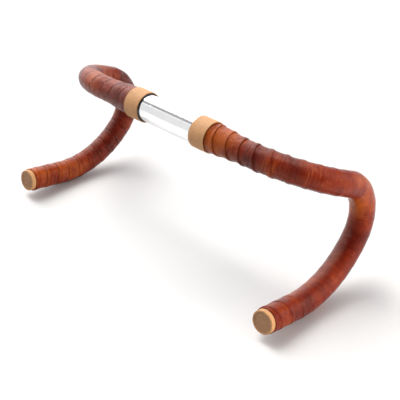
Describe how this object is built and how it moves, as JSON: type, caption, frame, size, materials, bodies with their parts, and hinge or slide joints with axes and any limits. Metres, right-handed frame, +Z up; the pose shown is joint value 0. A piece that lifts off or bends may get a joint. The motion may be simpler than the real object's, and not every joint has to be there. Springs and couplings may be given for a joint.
{
  "type": "drop handlebar",
  "caption": "Bent aluminium drop handlebar wrapped in brown leather tape, with tan finishing bands and twist-tight end plugs.",
  "frame": {"origin": "centre of the stem clamp, on the bar's axis", "axes": "+X to the rider's right along the tops, +Y forward, +Z up; the bar lies tilted as it does on a table, ramps sloping down to the front"},
  "size_m": [0.4304, 0.1822, 0.1757],
  "materials": {
    "polished_aluminium": "polished",
    "leather": "waxed, warm rust brown",
    "adhesive": "matt adhesive strip",
    "black_tape": "satin",
    "cork": "fine pressed cork, smooth",
    "dark_inlay": "dark, smooth",
    "steel": "zinc plated",
    "rubber": "matt",
    "nylon": "matt"
  },
  "bodies": {
    "handlebar": {"handlebar_tube": "polished_aluminium", "right_adhesive_backing": "adhesive", "right_leather_tape": "leather", "right_binding_tape": "black_tape", "right_finishing_band": "cork", "left_adhesive_backing": "adhesive", "left_leather_tape": "leather", "left_binding_tape": "black_tape", "left_finishing_band": "cork"},
    "right_plug": {"right_plug_washer": "steel", "right_plug_expander": "rubber"},
    "right_cap": {"right_plug_cap": "cork", "right_plug_inlay": "dark_inlay", "right_plug_screw": "steel"},
    "right_wedge": {"right_plug_wedge": "nylon"},
    "left_plug": {"left_plug_washer": "steel", "left_plug_expander": "rubber"},
    "left_cap": {"left_plug_cap": "cork", "left_plug_inlay": "dark_inlay", "left_plug_screw": "steel"},
    "left_wedge": {"left_plug_wedge": "nylon"}
  },
  "joints": [
    {"name": "right_plug_pull", "type": "slide", "parent": "handlebar", "child": "right_plug", "axis": [0.0118, -0.9892, 0.1463], "range_m": [0, 0.038]},
    {"name": "right_cap_turn", "type": "hinge", "parent": "right_plug", "child": "right_cap", "pos_m": [0.20065, -0.06228, -0.13494], "axis": [0.0118, -0.9892, 0.1463], "range_deg": [0, 1080]},
    {"name": "right_wedge_draw", "type": "slide", "parent": "right_plug", "child": "right_wedge", "axis": [-0.0118, 0.9892, -0.1463], "range_m": [0, 0.0025]},
    {"name": "left_plug_pull", "type": "slide", "parent": "handlebar", "child": "left_plug", "axis": [-0.0118, -0.9892, 0.1463], "range_m": [0, 0.038]},
    {"name": "left_cap_turn", "type": "hinge", "parent": "left_plug", "child": "left_cap", "pos_m": [-0.20065, -0.06228, -0.13494], "axis": [-0.0118, -0.9892, 0.1463], "range_deg": [0, 1080]},
    {"name": "left_wedge_draw", "type": "slide", "parent": "left_plug", "child": "left_wedge", "axis": [0.0118, 0.9892, -0.1463], "range_m": [0, 0.0025]}
  ],
  "couplings": [
    {"joint": "right_wedge_draw", "follows": "right_cap_turn", "m_per_rad": 0.00012732},
    {"joint": "left_wedge_draw", "follows": "left_cap_turn", "m_per_rad": 0.00012732}
  ]
}
